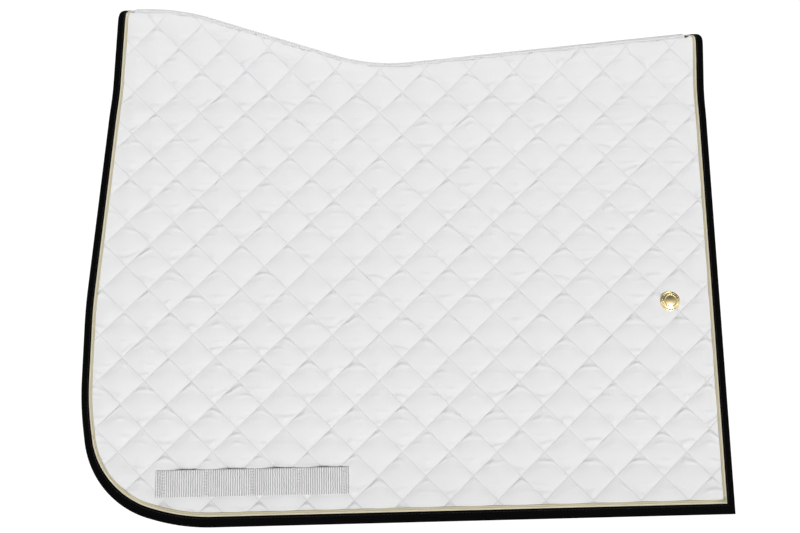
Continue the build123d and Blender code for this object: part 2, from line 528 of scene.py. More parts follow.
def soft_wear_group() -> bpy.types.NodeTree:
    """Group that gives slow, cloudy variation for colour and roughness.

    Returns:
        The group, with a Mask from 0 to 1.
    """
    tree, sheet, given, result = new_group(
        "Soft wear",
        "ShaderNodeTree",
        {"Scale": ("NodeSocketFloat", 12.0), "Contrast": ("NodeSocketFloat", 1.6)},
        {"Mask": "NodeSocketFloat"},
    )
    place = sheet.add("ShaderNodeTexCoord")
    broad = sheet.add(
        "ShaderNodeTexNoise",
        {"Vector": place.outputs["Object"], "Scale": given.outputs["Scale"], "Detail": 5.0},
    )
    centred = sheet.math("SUBTRACT", broad.outputs["Fac"], 0.5)
    mask = sheet.math("MULTIPLY_ADD", centred, given.outputs["Contrast"], 0.5, clamp=True)
    sheet.tree.links.new(mask, result.inputs["Mask"])
    return tree


GROUPS = {}


def shared_group(
    sheet: NodeSheet, build: Callable[[], bpy.types.NodeTree], inputs: dict
) -> bpy.types.Node:
    """Place a shared node group in a material, building the group the first time.

    Args:
        sheet: The material's nodes.
        build: Function that builds the group.
        inputs: Values or sockets for the group's inputs.

    Returns:
        The group's node.
    """
    if build not in GROUPS:
        GROUPS[build] = build()
    return sheet.add("ShaderNodeGroup", inputs, node_tree=GROUPS[build])


def new_material(name: str, settings: dict) -> tuple:
    """Start a material with a Principled shader.

    Args:
        name: The material's name.
        settings: Plain values of the shader's own sockets.

    Returns:
        The material, its sheet and its shader node.
    """
    material = bpy.data.materials.new(name)
    material.use_nodes = True
    sheet = NodeSheet(material.node_tree)
    shader = sheet.add("ShaderNodeBsdfPrincipled", settings)
    sheet.add("ShaderNodeOutputMaterial", {"Surface": shader.outputs[0]})
    return material, sheet, shader


@dataclass(frozen=True)
class ClothFinish:
    """Woven cloth, tape or cord, drawn on a piece's pattern map.

    Attributes:
        name: Material name.
        colour: Colour of the raised threads.
        gap: Painted shade: the darker colour painted in the gaps between threads.
        pitch: Distance between threads.
        angle: Direction of the threads in the pattern, in degrees.
        crossed: Share of a second set of threads at right angles.
        relief: Height of the threads.
        roughness: Roughness of the threads.
        sheen: Amount of fibre sheen.
        gloss: Strength of its highlights.
        seam_depth: Depth of the crease along quilting stitches, or 0 on cloth that isn't quilted.
            It also turns on the painted shade along the stitch lines.
        pucker_depth: Height of the small folds that quilting leaves between them.
        cloudiness: Scale of the slow colour variation.
        unevenness: How far threads wander, as a share of their pitch.
    """

    name: str
    colour: tuple
    gap: tuple
    pitch: float
    angle: float
    crossed: float = 0.0
    relief: float = 0.0002
    roughness: float = 0.85
    sheen: float = 0.25
    gloss: float = 0.25
    seam_depth: float = 0.0
    pucker_depth: float = 0.0
    cloudiness: float = 14.0
    unevenness: float = 0.35

    def build(self) -> bpy.types.Material:
        """Make the material."""
        material, sheet, shader = new_material(
            self.name,
            {
                "Sheen Weight": self.sheen,
                "Sheen Roughness": 0.5,
                "Specular IOR Level": self.gloss,
            },
        )
        uv = sheet.add("ShaderNodeUVMap", uv_map=PATTERN_UV)
        threads = shared_group(
            sheet,
            thread_lines_group,
            {
                "Vector": uv.outputs[0],
                "Pitch": self.pitch,
                "Angle": math.radians(self.angle),
                "Crossed": self.crossed,
                "Unevenness": self.unevenness,
            },
        )
        wear = shared_group(sheet, soft_wear_group, {"Scale": self.cloudiness})
        fuzz = sheet.add("ShaderNodeTexNoise", {"Vector": uv.outputs[0], "Scale": 1900.0})
        # painted shade: the low parts between the threads take the darker gap colour
        shaded_weave = sheet.mix(threads.outputs["Height"], (*self.gap, 1), (*self.colour, 1))
        faded = tuple(0.93 * c for c in self.colour)
        amount = sheet.math("MULTIPLY", wear.outputs["Mask"], 0.35)
        colour = sheet.mix(amount, shaded_weave, (*faded, 1))
        rough = sheet.math("MULTIPLY_ADD", fuzz.outputs["Fac"], 0.16, self.roughness - 0.08)
        sheet.tree.links.new(rough, shader.inputs["Roughness"])
        height = sheet.math("MULTIPLY_ADD", fuzz.outputs["Fac"], 0.4, threads.outputs["Height"])
        height = sheet.math("MULTIPLY", height, self.relief)
        if self.seam_depth:
            creases = shared_group(
                sheet,
                quilt_crease_group,
                {
                    "Vector": uv.outputs[0],
                    "Crossing": (*CROSSING, 0.0),
                    "Gap": STITCH_GAP,
                    "Seam depth": self.seam_depth,
                    "Pucker depth": self.pucker_depth,
                },
            )
            height = sheet.math("ADD", height, creases.outputs["Height"])
            # painted shade: the stitch lines are darkened towards a darker gap colour, as shade in
            # their creases
            seam_shade = sheet.math("MULTIPLY", creases.outputs["Seam"], 0.05)
            colour = sheet.mix(seam_shade, colour, (*(0.6 * c for c in self.gap), 1))
        sheet.tree.links.new(colour, shader.inputs["Base Color"])
        bump = sheet.add("ShaderNodeBump", {"Height": height, "Distance": 1.0, "Strength": 1.0})
        sheet.tree.links.new(bump.outputs[0], shader.inputs["Normal"])
        return material


@dataclass(frozen=True)
class ThreadFinish:
    """Sewing thread, too fine for a pattern map.

    Attributes:
        name: Material name.
        colour: Colour of the thread.
        shade: Colour where fibres lie in each other's shade.
        roughness: Roughness of the thread.
    """

    name: str
    colour: tuple
    shade: tuple
    roughness: float = 0.7

    def build(self) -> bpy.types.Material:
        """Make the material."""
        material, sheet, shader = new_material(self.name, {"Sheen Weight": 0.2})
        place = sheet.add("ShaderNodeTexCoord")
        fibres = sheet.add(
            "ShaderNodeTexNoise", {"Vector": place.outputs["Object"], "Scale": 2600.0}
        )
        colour = sheet.mix(fibres.outputs["Fac"], (*self.shade, 1), (*self.colour, 1))
        sheet.tree.links.new(colour, shader.inputs["Base Color"])
        rough = sheet.math("MULTIPLY_ADD", fibres.outputs["Fac"], 0.2, self.roughness - 0.1)
        sheet.tree.links.new(rough, shader.inputs["Roughness"])
        bump = sheet.add(
            "ShaderNodeBump", {"Height": fibres.outputs["Fac"], "Distance": 0.0001}
        )
        sheet.tree.links.new(bump.outputs[0], shader.inputs["Normal"])
        return material


@dataclass(frozen=True)
class MetalFinish:
    """Polished or plain metal with fine scuffs.

    Attributes:
        name: Material name.
        colour: Colour of the bare metal.
        tarnish: Colour where it has dulled.
        roughness: Roughness of the polish.
    """

    name: str
    colour: tuple
    tarnish: tuple
    roughness: float

    def build(self) -> bpy.types.Material:
        """Make the material."""
        material, sheet, shader = new_material(self.name, {"Metallic": 1.0})
        wear = shared_group(sheet, soft_wear_group, {"Scale": 220.0, "Contrast": 2.2})
        place = sheet.add("ShaderNodeTexCoord")
        scuffs = sheet.add(
            "ShaderNodeTexNoise", {"Vector": place.outputs["Object"], "Scale": 3000.0}
        )
        amount = sheet.math("MULTIPLY", wear.outputs["Mask"], 0.5)
        colour = sheet.mix(amount, (*self.colour, 1), (*self.tarnish, 1))
        sheet.tree.links.new(colour, shader.inputs["Base Color"])
        rough = sheet.math("MULTIPLY_ADD", wear.outputs["Mask"], 0.12, self.roughness)
        sheet.tree.links.new(rough, shader.inputs["Roughness"])
        bump = sheet.add(
            "ShaderNodeBump", {"Height": scuffs.outputs["Fac"], "Distance": 0.00002}
        )
        sheet.tree.links.new(bump.outputs[0], shader.inputs["Normal"])
        return material


class Finish(Enum):
    """Every finish of the pad."""

    # each cloth's second colour is painted shade for the gaps between its threads
    TWILL = ClothFinish(
        "White quilted twill", (0.83, 0.83, 0.835), (0.75, 0.75, 0.76), 0.0012, -30.0,
        seam_depth=0.0003, pucker_depth=0.0011,
    )
    LINING = ClothFinish(
        "White lining cloth", (0.78, 0.775, 0.76), (0.66, 0.655, 0.64), 0.0009, 0.0, crossed=1.0,
        seam_depth=0.0003, pucker_depth=0.0007,
    )
    BINDING = ClothFinish(
        "Black binding tape", (0.0018, 0.0018, 0.0020), (0.0007, 0.0007, 0.0007), 0.0011, 0.0,
        relief=0.00025, roughness=0.7, sheen=0.0, gloss=0.03,
    )
    CREAM = ClothFinish(
        "Cream piping cord", (0.92, 0.85, 0.64), (0.72, 0.64, 0.45), 0.0011, 38.0,
        relief=0.0004, roughness=0.6, sheen=0.15,
    )
    BEIGE = ClothFinish(
        "Beige piping cord", (0.74, 0.68, 0.48), (0.54, 0.48, 0.32), 0.0011, -38.0,
        relief=0.0004, roughness=0.6, sheen=0.15,
    )
    SPINE_TAPE = ClothFinish(
        "White ribbed tape", (0.82, 0.82, 0.82), (0.62, 0.62, 0.63), 0.0005, 90.0, relief=0.0001
    )
    SEAM_TAPE = ClothFinish(
        "White seam tape", (0.80, 0.80, 0.79), (0.66, 0.66, 0.65), 0.0007, 0.0, crossed=1.0
    )
    # the webbing's very dark second colour paints the shade in the grooves between its ribs
    WEBBING = ClothFinish(
        "White webbing", (0.88, 0.88, 0.88), (0.29, 0.29, 0.295), 0.0021, 0.0,
        relief=0.0003, cloudiness=90.0, unevenness=0.45,
    )
    WHITE_THREAD = ThreadFinish("White thread", (0.80, 0.80, 0.80), (0.55, 0.55, 0.55))
    BLACK_THREAD = ThreadFinish("Black thread", (0.010, 0.010, 0.010), (0.003, 0.003, 0.003))
    GOLD = MetalFinish("Gold badge metal", (1.0, 0.86, 0.50), (0.80, 0.55, 0.20), 0.16)
    PLAIN_METAL = MetalFinish("Plain nickel", (0.62, 0.61, 0.58), (0.38, 0.36, 0.33), 0.32)

    def material(self) -> bpy.types.Material:
        """Its material, made once."""
        return bpy.data.materials.get(self.value.name) or self.value.build()


def dress(thing: bpy.types.Object, finish: Finish, slot: str) -> None:
    """Give a piece its material.

    Args:
        thing: The piece.
        finish: Its finish.
        slot: Not used.
    """
    thing.data.materials.clear()
    thing.data.materials.append(finish.material())


# ---------------------------------------------------------------- repeats made by geometry nodes


class Repeat(Enum):
    """What a repeat tree sets along lines."""

    STITCH = "Stitches along lines"
    TUBE = "Tubes along lines"


def repeat_tree(kind: Repeat) -> bpy.types.NodeTree:
    """Geometry node tree that turns lines into stitches or tubes.

    Args:
        kind: What it makes of each line.

    Returns:
        The tree, built the first time it is asked for.
    """
    if kind.value in bpy.data.node_groups:
        return bpy.data.node_groups[kind.value]
    tree, sheet, given, result = new_group(
        kind.value,
        "GeometryNodeTree",
        {
            "Lines": ("NodeSocketGeometry", None),
            "Pitch": ("NodeSocketFloat", 0.004),
            "Length": ("NodeSocketFloat", 0.003),
            "Thickness": ("NodeSocketFloat", 0.0004),
            "Material": ("NodeSocketMaterial", None),
        },
        {"Result": "NodeSocketGeometry"},
    )
    curves = sheet.add("GeometryNodeMeshToCurve", {"Mesh": given.outputs["Lines"]}).outputs[0]
    half = sheet.math("MULTIPLY", given.outputs["Thickness"], 0.5)
    if kind is Repeat.STITCH:
        points = sheet.add(
            "GeometryNodeCurveToPoints",
            {"Curve": curves, "Length": given.outputs["Pitch"]},
            mode="LENGTH",
        )
        turn = sheet.add(
            "FunctionNodeAlignRotationToVector", {"Vector": points.outputs["Tangent"]}, axis="Z"
        )
        bead = sheet.add("GeometryNodeMeshUVSphere", {"Segments": 5, "Rings": 3, "Radius": 0.5})
        size = sheet.add(
            "ShaderNodeCombineXYZ",
            {
                0: given.outputs["Thickness"],
                1: given.outputs["Thickness"],
                2: given.outputs["Length"],
            },
        )
        made = sheet.add(
            "GeometryNodeInstanceOnPoints",
            {
                "Points": points.outputs["Points"],
                "Instance": bead.outputs["Mesh"],
                "Rotation": turn.outputs[0],
                "Scale": size.outputs[0],
            },
        ).outputs[0]
    else:
        ring = sheet.add(
            "GeometryNodeCurvePrimitiveCircle", {"Resolution": 6, "Radius": half}
        )
        made = sheet.add(
            "GeometryNodeCurveToMesh",
            {"Curve": curves, "Profile Curve": ring.outputs[0], "Fill Caps": True},
        ).outputs[0]
    plain = sheet.add("GeometryNodeRealizeInstances", {"Geometry": made}).outputs[0]
    smooth = sheet.add("GeometryNodeSetShadeSmooth", {"Geometry": plain}).outputs[0]
    painted = sheet.add(
        "GeometryNodeSetMaterial", {"Geometry": smooth, "Material": given.outputs["Material"]}
    ).outputs[0]
    sheet.tree.links.new(painted, result.inputs["Result"])
    return tree


def run_repeat(
    name: str, kind: Repeat, lines: list, finish: Finish, sizes: dict
) -> bpy.types.Object:
    """Make one piece of stitches or tubes along lines.

    Args:
        name: The piece's name.
        kind: What to make of each line.
        lines: Each line's points, as rows of x, y, z.
        finish: The pieces' finish.
        sizes: Values of the tree's named inputs.

    Returns:
        The piece, a plain mesh.
    """
    mesh = bpy.data.meshes.new(name)
    edges, first = [], 0
    for line in lines:
        edges += [(first + k, first + k + 1) for k in range(len(line) - 1)]
        first += len(line)
    mesh.from_pydata(np.vstack(lines).tolist(), edges, [])
    thing = bpy.data.objects.new(name, mesh)
    bpy.context.scene.collection.objects.link(thing)
    tree = repeat_tree(kind)
    live = thing.modifiers.new(kind.value, "NODES")
    live.node_group = tree
    sockets = {item.name: item.identifier for item in tree.interface.items_tree}
    for label, value in {**sizes, "Material": finish.material()}.items():
        live[sockets[label]] = value
    return plain_copy(thing)


# ---------------------------------------------------------------- shape of the pad


@dataclass
class PadForm:
    """The pad's pattern, and how a half of it hangs from the spine.

    Attributes:
        side: Which half this is.
        hinge_out: Fold line's distance from the middle plane.
        hinge_z: Height of the fold line.
        seat_drop: Centre of the crown's arch below the spine line.
        lean: How far the flap stands out at rest, in degrees.
        turn_start: Where the cloth starts to lean, down from the fold line.
        turn_end: Where it leans fully.
        front_reach: Front edge ahead of the spine's lowest point.
        rear_reach: Rear lower corner behind it.
        rear_drop: Hem below the fold line at the rear corner.
        front_drop: The same at the front.
        front_lean: How fast the upper front edge runs forward on its way down.
        rear_lean: The same for the rear edge.
        lean_end: Below this the front edge hangs straight.
        end_turn: How far the edge turns in towards the spine at each end, in degrees.
        end_drop: Where that turn's corner is, below the spine seam.
        trim_reach: Straight run of the edge beside its sharp rear corner, past the trim's width.
        front_corner: Points that the rounded lower front corner bends about, each as its
            distance behind the front edge and above the front drop.
        edge_rounds: Radius of the edge at each of its corners, from the front of the spine.
        front_slope: Fall of the spine line from the front to its lowest point.
        rear_slope: Its rise from there to the rear.
        crest: Height of the level front of the spine line.
        spine_round: Radius where the spine line bends.
        spine_beyond: How far the spine line is drawn past each end of the pad.
    """

    side: Side
    hinge_out: float = 0.0104
    hinge_z: float = -0.0143
    seat_drop: float = 0.006
    lean: float = 12.0
    turn_start: float = -0.012
    turn_end: float = 0.036
    front_reach: float = 0.2942
    rear_reach: float = 0.3239
    rear_drop: float = 0.424
    front_drop: float = 0.437
    front_lean: float = 0.072
    rear_lean: float = 0.0207
    lean_end: float = 0.228
    end_turn: float = 40.0
    end_drop: float = 0.005
    trim_reach: float = 0.014
    front_corner: tuple = ((0.0, 0.1146), (0.0147, 0.0236), (0.1012, 0.0))
    edge_rounds: tuple = (0.011, 0.5, 0.3, 0.088, 0.19, 0.0, 0.011)
    front_slope: float = 0.298
    rear_slope: float = 0.103
    crest: float = 0.0545
    spine_round: float = 0.205
    spine_beyond: float = 0.06
    spine: np.ndarray = field(init=False)
    edge: np.ndarray = field(init=False)
    loop: np.ndarray = field(init=False)

    def __post_init__(self) -> None:
        """Work out the spine line and the pattern's outline."""
        self.spine = self.draw_spine()
        inward = self.end_drop * math.tan(math.radians(self.end_turn))
        front_top = float(self.seam(np.array([-self.front_reach + 0.02]))[0])
        rear_top = float(self.seam(np.array([self.rear_reach - 0.02]))[0])
        front_x = self.front_x(front_top + self.end_drop)
        rear_x = self.rear_x(rear_top + self.end_drop)
        corners = [
            (front_x + inward, front_top),
            (front_x, front_top + self.end_drop),
            (-self.front_reach, self.lean_end),
            *((x - self.front_reach, self.front_drop - up) for x, up in self.front_corner),
            (self.rear_reach, self.rear_drop),
            (rear_x, rear_top + self.end_drop),
            (rear_x - inward, rear_top),
        ]
        path = rounded_path(corners, self.edge_rounds, 0.003)
        rear_corner = corners[6]
        away = np.linalg.norm(path - np.array(rear_corner), axis=1)
        self.edge = path[(away > self.trim_reach) | (away < 1e-6)]
        across = np.linspace(self.edge[-1, 0], self.edge[0, 0], 200)[1:-1]
        self.loop = np.vstack([self.edge, np.stack([across, self.seam(across)], axis=1)])

    def draw_spine(self) -> np.ndarray:
        """Draw the spine line: level, down to its lowest point, and up to the rear.

        Returns:
            Its points, (x, z) rows. The lowest one is at the origin.
        """
        radius = self.spine_round
        tilt = math.atan(self.rear_slope)
        tangent = radius * math.tan((math.atan(self.front_slope) + tilt) / 2)
        dip = (
            radius * math.sin(tilt) - tangent * math.cos(tilt),
            radius * (1 - math.cos(tilt)) - tangent * math.sin(tilt),
        )
        end_x = self.rear_reach + self.spine_beyond
        corners = [
            (-self.front_reach - self.spine_beyond, self.crest),
            (dip[0] - (self.crest - dip[1]) / self.front_slope, self.crest),
            dip,
            (end_x, dip[1] + self.rear_slope * (end_x - dip[0])),
        ]
        return rounded_path(corners, [radius, radius], 0.004)

    def front_x(self, drop: float) -> float:
        """Front edge's place at a distance below the fold line, above lean_end."""
        return -self.front_reach + self.front_lean * (self.lean_end - drop)

    def rear_x(self, drop: float) -> float:
        """Rear edge's place at a distance below the fold line."""
        return self.rear_reach - self.rear_lean * (self.rear_drop - drop)

    def spine_z(self, x: np.ndarray) -> np.ndarray:
        """Height of the spine line at each x."""
        return np.interp(x, self.spine[:, 0], self.spine[:, 1])

    def leg(self, x: np.ndarray) -> np.ndarray:
        """Length of straight cloth above the fold line at each x."""
        return self.spine_z(x) - self.seat_drop - self.hinge_z

    def seam(self, x: np.ndarray) -> np.ndarray:
        """Pattern height s of the spine seam at each x."""
        return -self.leg(x) - self.hinge_out * math.pi / 2

    def place(self, x: np.ndarray, s: np.ndarray, n: np.ndarray) -> np.ndarray:
        """Bend pattern points into the pad's shape at rest.

        Args:
            x: Places along the pad.
            s: Places down the cloth, from the fold line.
            n: Heights above the cloth's middle surface, outwards.

        Returns:
            Rows of x, y, z.
        """
        x, s, n = (np.asarray(v, float) for v in np.broadcast_arrays(x, s, n))
        slope = np.gradient(self.spine[:, 1], self.spine[:, 0])
        rise = np.sqrt(1 + np.interp(x, self.spine[:, 0], slope) ** 2)
        leg = self.leg(x)
        phi = (-s - leg) / self.hinge_out
        bent = phi > 0
        theta = math.radians(self.lean) * ramp(s, self.turn_start, self.turn_end - self.turn_start)
        down = np.where(bent, 0.0, s)
        y = -self.hinge_out - down * np.sin(theta) - n * np.cos(theta)
        z = self.hinge_z - down * np.cos(theta) + n * np.sin(theta)
        reach = self.hinge_out + n
        phi = np.clip(phi, 0, None)
        y = np.where(bent, -reach * np.cos(phi), y)
        z_arch = self.spine_z(x) + rise * (reach * np.sin(phi) - self.seat_drop)
        ease = smoothstep(phi / 0.5)
        z_arch += (1 - ease) * (rise - 1) * self.seat_drop
        z = np.where(bent, z_arch, z)
        if self.side is Side.RIGHT:
            y = -y
        return np.stack([x, y, z], axis=-1)

    def ride(self, piece: bpy.types.Object) -> None:
        """Bake a finished piece's transform into its mesh.

        Args:
            piece: The finished piece.
        """
        self.side.body
        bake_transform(piece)


# ---------------------------------------------------------------- quilted pad


@dataclass
class QuiltedPad:
    """One half's padded cloth: quilted cover and lining, closed round their edge.

    Attributes:
        form: Shape of the half.
        stitch_gap: Distance between two stitch lines.
        crossing: Pattern place of one crossing of stitch lines.
        cells: Mesh cells between two stitch lines.
        edge_inset: How far the cloth's cut edge lies inside the binding's edge.
        edge_half: Half the thickness at the binding.
        seam_half: Half the thickness along a stitch line.
        spine_half: Half the thickness beside the spine seam.
        puff: Greatest height of a cushion above its stitch lines.
        slack_down: Extra cloth down the flap, as a share.
        slack_along: Extra cloth along the flap, as a share.
        evenness: Share of a regular cushion in each settled one.
        sharpness: Crease of the stitch lines, from 0 to 1.
        pressed_half: Height of the cover's face where the badge or the tacks press it down.
        edge_ramp: Where the thickness changes from the binding's, inside the edge, and over
            what width.
        spine_ramp: The same below the spine seam.
        puff_ramp: The same for the puffs, from the edge and from the spine seam.
        badge_ramp: The same for the press of the badge, from its middle.
        tack_ramp: The same for the press of a row of tacks.
        frames: Frames of the cloth simulation.
        sewn_by: Frame by which the extra cloth is sewn in.
        zoom: How much larger the cloth is simulated, since the solver suits cloth of metres.
        badge: Pattern place of the badge, or None.
        strap_rows: Pattern places that the girth strap's tacks press down, as (x, s) ends.
    """

    form: PadForm
    stitch_gap: float = STITCH_GAP
    crossing: tuple = CROSSING
    cells: int = 7
    edge_inset: float = 0.0016
    edge_half: float = 0.0026
    seam_half: float = 0.0018
    spine_half: float = 0.0034
    puff: float = 0.0040
    slack_down: float = 0.058
    slack_along: float = 0.024
    evenness: float = 0.55
    sharpness: float = 0.55
    pressed_half: float = 0.0034
    edge_ramp: tuple = (0.010, 0.012)
    spine_ramp: tuple = (0.008, 0.014)
    puff_ramp: tuple = (0.007, 0.016)
    badge_ramp: tuple = (0.0095, 0.010)
    tack_ramp: tuple = (0.004, 0.008)
    frames: int = 22
    sewn_by: int = 8
    zoom: float = 10.0
    badge: tuple = None
    strap_rows: list = field(default_factory=list)

    def to_lattice(self, points: np.ndarray) -> np.ndarray:
        """Pattern points in stitch-line counts, (p, q) rows."""
        d = (points - np.array(self.crossing)) / (self.stitch_gap * math.sqrt(2))
        return np.stack([d[:, 0] + d[:, 1], d[:, 0] - d[:, 1]], axis=1)

    def from_lattice(self, counts: np.ndarray) -> np.ndarray:
        """Pattern points of stitch-line counts."""
        p, q = counts[:, 0], counts[:, 1]
        d = np.stack([p + q, p - q], axis=1) * self.stitch_gap / math.sqrt(2)
        return d + np.array(self.crossing)

    def cut(self) -> tuple:
        """Cut the mesh of one sheet, with its rows along the stitch lines.

        Returns:
            Pattern points, whole lattice counts of each, and quads.
        """
        corner = self.to_lattice(self.form.loop)
        low = np.floor(corner.min(axis=0) * self.cells).astype(int)
        high = np.ceil(corner.max(axis=0) * self.cells).astype(int)
        p, q = np.meshgrid(
            np.arange(low[0], high[0] + 1), np.arange(low[1], high[1] + 1), indexing="ij"
        )
        counts = np.stack([p.ravel(), q.ravel()], axis=1)
        points = self.from_lattice(counts / self.cells)
        kept = distance_inside(points, self.form.loop) > self.edge_inset
        kept = kept.reshape(p.shape)
        whole = kept[:-1, :-1] & kept[1:, :-1] & kept[1:, 1:] & kept[:-1, 1:]
        number = np.arange(p.size).reshape(p.shape)
        quads = np.stack(
            [number[:-1, :-1][whole], number[1:, :-1][whole], number[1:, 1:][whole],
             number[:-1, 1:][whole]], axis=1,
        )
        used, flat = np.unique(quads, return_inverse=True)
        return points[used], counts[used], flat.reshape(-1, 4)

    def rest_height(self, points: np.ndarray) -> np.ndarray:
        """Half thickness of the pad without its puffs.

        Args:
            points: Pattern points.

        Returns:
            Heights above the middle surface.
        """
        inside = distance_inside(points, self.form.loop)
        ease = ramp(inside, *self.edge_ramp)
        height = self.edge_half + (self.seam_half - self.edge_half) * ease
        below_seam = points[:, 1] - self.form.seam(points[:, 0])
        return height + (self.spine_half - height) * (1 - ramp(below_seam, *self.spine_ramp))

    def puff_share(self, points: np.ndarray) -> np.ndarray:
        """How much of its puff the cloth keeps at each point, near the binding and the spine."""
        inside = distance_inside(points, self.form.loop)
        below_seam = points[:, 1] - self.form.seam(points[:, 0])
        return ramp(inside, *self.puff_ramp) * ramp(below_seam, *self.puff_ramp)

    def settle(
        self, points: np.ndarray, counts: np.ndarray, quads: np.ndarray, name: str, slack: float
    ) -> np.ndarray:
        """Let the slack cloth puff between its stitch lines.

        Args:
            points: Pattern points of the sheet.
            counts: Their lattice counts.
            quads: Its faces.
            name: Name of the simulated sheet.
            slack: Share of the full slack to sew in.

        Returns:
            Rows of x, s and puff height.
        """
        wave = np.abs(np.sin(counts * math.pi / self.cells))
        drawn = self.puff * (wave[:, 0] * wave[:, 1]) ** 0.85
        flat = np.column_stack([points[:, 0], -points[:, 1], -0.15 * drawn]) * self.zoom
        sheet = make_object(name, flat, quads)
        loose = 1 + slack * np.array([self.slack_along, self.slack_down, 0.0])
        sheet.shape_key_add(name="Sewn size")
        cut = sheet.shape_key_add(name="Cut size")
        cut.data.foreach_set("co", (flat * loose).ravel())
        for number, value in ((1, 1.0), (self.sewn_by, 0.0)):
            cut.value = value
            cut.keyframe_insert("value", frame=number)
        scene = bpy.context.scene
        scene.frame_set(1)
        held = np.any(counts % self.cells == 0, axis=1)
        held |= distance_inside(points, self.form.loop) < 0.006
        pins = sheet.vertex_groups.new(name="Sewn")
        pins.add(np.flatnonzero(held).tolist(), 1.0, "REPLACE")
        cloth = sheet.modifiers.new("Cloth", "CLOTH")
        cloth.settings.vertex_group_mass = "Sewn"
        for setting, value in CLOTH_SETTINGS.items():
            setattr(cloth.settings, setting, value)
        cloth.settings.effector_weights.gravity = 2.5
        cloth.point_cache.frame_start = 1
        cloth.point_cache.frame_end = self.frames
        for number in range(1, self.frames + 1):
            scene.frame_set(number)
        graph = bpy.context.evaluated_depsgraph_get()
        settled = sheet.evaluated_get(graph).to_mesh()
        places = np.empty(3 * len(settled.vertices))
        settled.vertices.foreach_get("co", places)
        places = places.reshape(-1, 3) / self.zoom
        sheet.evaluated_get(graph).to_mesh_clear()
        old = sheet.data
        bpy.data.actions.remove(old.shape_keys.animation_data.action)
        bpy.data.objects.remove(sheet)
        bpy.data.meshes.remove(old)
        scene.frame_set(1)
        height = np.clip(-places[:, 2], 0, None)
        height = height / (1 + (height / self.puff) ** 4) ** 0.25
        height = self.evenness * drawn + (1 - self.evenness) * height
        moved = np.column_stack([places[:, 0], -places[:, 1]]) - points
        reach = np.linalg.norm(moved, axis=1)
        moved *= (np.minimum(reach, 0.0015) / np.maximum(reach, 1e-9))[:, None]
        LOG.info("%s: puffs up to %.1f mm", name, 1000 * height.max())
        return np.column_stack([points + moved, height])

    def pressed(self, points: np.ndarray, height: np.ndarray) -> np.ndarray:
        """Press the cover down under the badge and the strap's rows of tacks.

        Args:
            points: Pattern points.
            height: Their heights above the middle surface.

        Returns:
            The lowered heights.
        """
        if self.badge:
            gap = np.linalg.norm(points - np.array(self.badge), axis=1)
            height = self.sink(height, ramp(gap, *self.badge_ramp))
        for low, high in self.strap_rows:
            low, run = np.array(low), np.array(high) - np.array(low)
            t = np.clip((points - low) @ run / (run @ run), 0, 1)
            gap = np.linalg.norm(points - low - t[:, None] * run, axis=1)
            height = self.sink(height, ramp(gap, *self.tack_ramp))
        return height

    def sink(self, height: np.ndarray, free: np.ndarray) -> np.ndarray:
        """Keep only a share of what stands above the pressed height."""
        floor = self.pressed_half
        return np.where(height > floor, floor + (height - floor) * free, height)

    def build(self, settled: dict) -> bpy.types.Object:
        """Make this half's pad from settled sheets, which both halves share.

        Args:
            settled: The cut sheet and its two settled faces, from make_sheets.

        Returns:
            The pad.
        """
        points, quads = settled["points"], settled["quads"]
        rest, share = self.rest_height(points), self.puff_share(points)
        count = len(points)
        patterns = []
        for face, key in ((1, "cover"), (-1, "lining")):
            sheet = settled[key]
            height = rest + sheet[:, 2] * share
            height = self.pressed(sheet[:, :2], height) if face > 0 else height
            shift = (sheet[:, :2] - points) * share[:, None]
            patterns.append(np.column_stack([points + shift, face * height]))
        flat = np.vstack(patterns)
        edges = np.vstack([quads[:, [k, (k + 1) % 4]] for k in range(4)])
        ordered = np.sort(edges, axis=1)
        _, first, times = np.unique(ordered, axis=0, return_index=True, return_counts=True)
        rim = edges[first[times == 1]]
        wall = np.stack([rim[:, 1], rim[:, 0], rim[:, 0] + count, rim[:, 1] + count], axis=1)
        faces = np.vstack([quads, quads[:, ::-1] + count, wall])
        if signed_volume(self.form.place(*flat.T), faces) < 0:
            faces = faces[:, ::-1]
        pad = make_object(f"{self.form.side.prefix}_quilted_pad", flat, faces)
        set_pattern_uv(pad, np.vstack([points, points]))
        pad.data.materials.append(Finish.TWILL.material())
        pad.data.materials.append(Finish.LINING.material())
        inner = np.zeros(len(faces), dtype=np.int32)
        inner[len(quads):] = 1
        pad.data.polygons.foreach_set("material_index", inner)
        self.crease(pad, settled["counts"])
        finer = pad.modifiers.new("Finer", "SUBSURF")
        finer.levels = finer.render_levels = 1
        plain_copy(pad)
        places = np.empty(3 * len(pad.data.vertices))
        pad.data.vertices.foreach_get("co", places)
        pad.data.vertices.foreach_set("co", self.form.place(*places.reshape(-1, 3).T).ravel())
        pad.data.update()
        prefix = self.form.side.prefix
        layers = [f"{prefix}_{part}" for part in ("cover", "wadding", "lining")]
        layers += [f"{prefix}_crown_{part}" for part in ("cover", "wadding", "lining")]
        self.form.ride(pad)
        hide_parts(*layers)
        return pad

    def crease(self, pad: bpy.types.Object, counts: np.ndarray) -> None:
        """Keep the stitch lines sharp when the mesh is made finer.

        Args:
            pad: The pad's mesh object, its cover's vertices first and then its lining's.
            counts: Lattice counts of one sheet's vertices.
        """
        ends = np.empty(2 * len(pad.data.edges), dtype=np.int32)
        pad.data.edges.foreach_get("vertices", ends)
        ends = ends.reshape(-1, 2) % len(counts)
        both = counts[ends]
        same = (both[:, 0] == both[:, 1]) & (both[:, 0] % self.cells == 0)
        sewn = np.any(same, axis=1).astype(np.float32)
        weights = pad.data.attributes.new("crease_edge", "FLOAT", "EDGE")
        weights.data.foreach_set("value", self.sharpness * sewn)

    def make_sheets(self) -> dict:
        """Cut one sheet and settle it as cover and as lining.

        Returns:
            The cut points and quads, and each face's settled rows.
        """
        points, counts, quads = self.cut()
        return {
            "points": points,
            "counts": counts,
            "quads": quads,
            "cover": self.settle(points, counts, quads, "Cover sheet", 1.0),
            "lining": self.settle(points, counts, quads, "Lining sheet", 0.7),
        }

